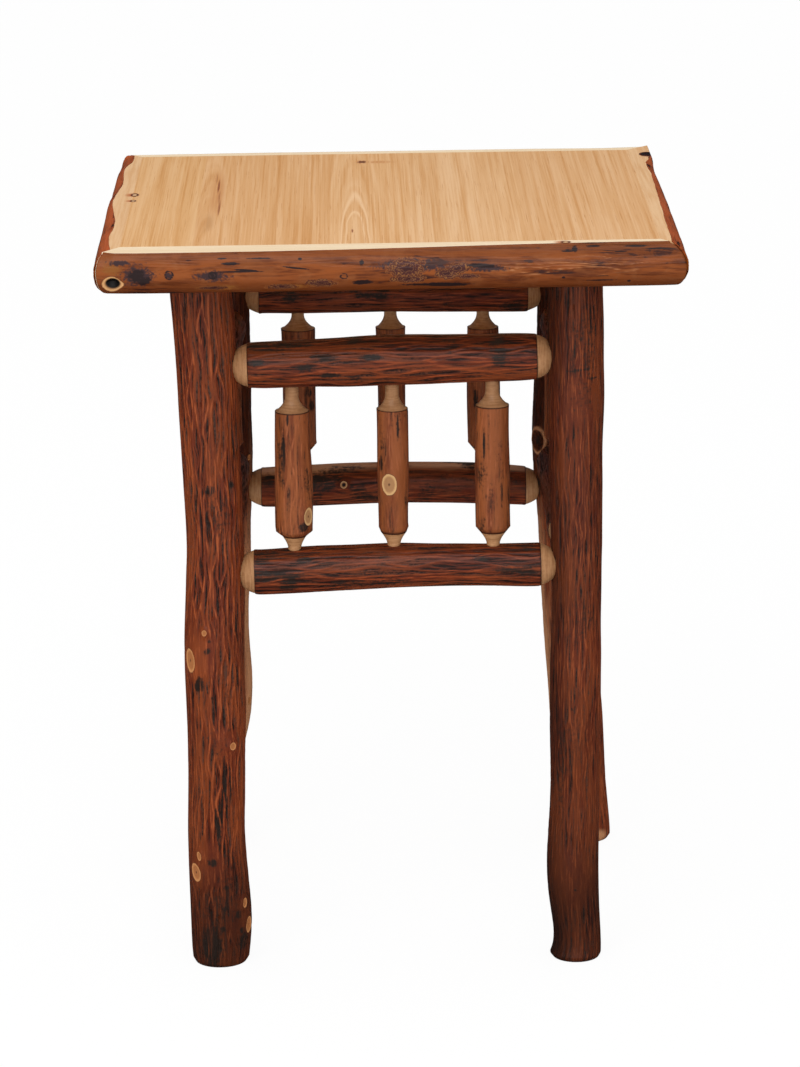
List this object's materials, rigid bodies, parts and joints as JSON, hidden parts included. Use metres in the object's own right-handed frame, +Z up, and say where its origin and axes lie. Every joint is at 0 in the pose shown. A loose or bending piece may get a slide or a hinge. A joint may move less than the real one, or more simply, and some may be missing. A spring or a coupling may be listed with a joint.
{
  "type": "rustic log table",
  "caption": "Square log table with bark-covered legs, tenoned rails with short turned-neck spindles between them, and a boarded top edged with mitred half-logs.",
  "frame": {"origin": "on the floor under the middle of the top", "axes": "+X to the right, +Y to the back, +Z up out of the table's top face"},
  "size_m": [0.58, 0.578, 0.762],
  "materials": {
    "leg_bark": "ridged hickory bark under a clear gloss coat",
    "rail_bark": "hickory bark under a clear gloss coat, peeled pale at the domes",
    "spindle_bark": "smooth hickory bark under a clear coat, turned pale at the necks",
    "edge_bark": "smooth bark on the half-log's face, planed sapwood on top",
    "board_wood": "planed hickory boards under a satin clear coat",
    "batten_wood": "planed softer wood, unfinished",
    "dowel_wood": "plain beech, unfinished",
    "screw_steel": "zinc-plated wood screw"
  },
  "bodies": {
    "root": {"leg_front_left": "leg_bark", "leg_front_right": "leg_bark", "leg_back_left": "leg_bark", "leg_back_right": "leg_bark", "rail_front_upper": "rail_bark", "rail_front_lower": "rail_bark", "rail_back_upper": "rail_bark", "rail_back_lower": "rail_bark", "rail_left_upper": "rail_bark", "rail_left_lower": "rail_bark", "rail_right_upper": "rail_bark", "rail_right_lower": "rail_bark", "spindle_front_left": "spindle_bark", "spindle_front_middle": "spindle_bark", "spindle_front_right": "spindle_bark", "spindle_back_left": "spindle_bark", "spindle_back_middle": "spindle_bark", "spindle_back_right": "spindle_bark", "spindle_left_front": "spindle_bark", "spindle_left_middle": "spindle_bark", "spindle_left_back": "spindle_bark", "spindle_right_front": "spindle_bark", "spindle_right_middle": "spindle_bark", "spindle_right_back": "spindle_bark", "top_board_1": "board_wood", "top_board_2": "board_wood", "top_board_3": "board_wood", "top_board_4": "board_wood", "top_board_5": "board_wood", "edge_front": "edge_bark", "edge_back": "edge_bark", "edge_left": "edge_bark", "edge_right": "edge_bark", "batten_front": "batten_wood", "batten_back": "batten_wood", "edge_dowels": "dowel_wood", "batten_screws": "screw_steel"}
  },
  "joints": []
}
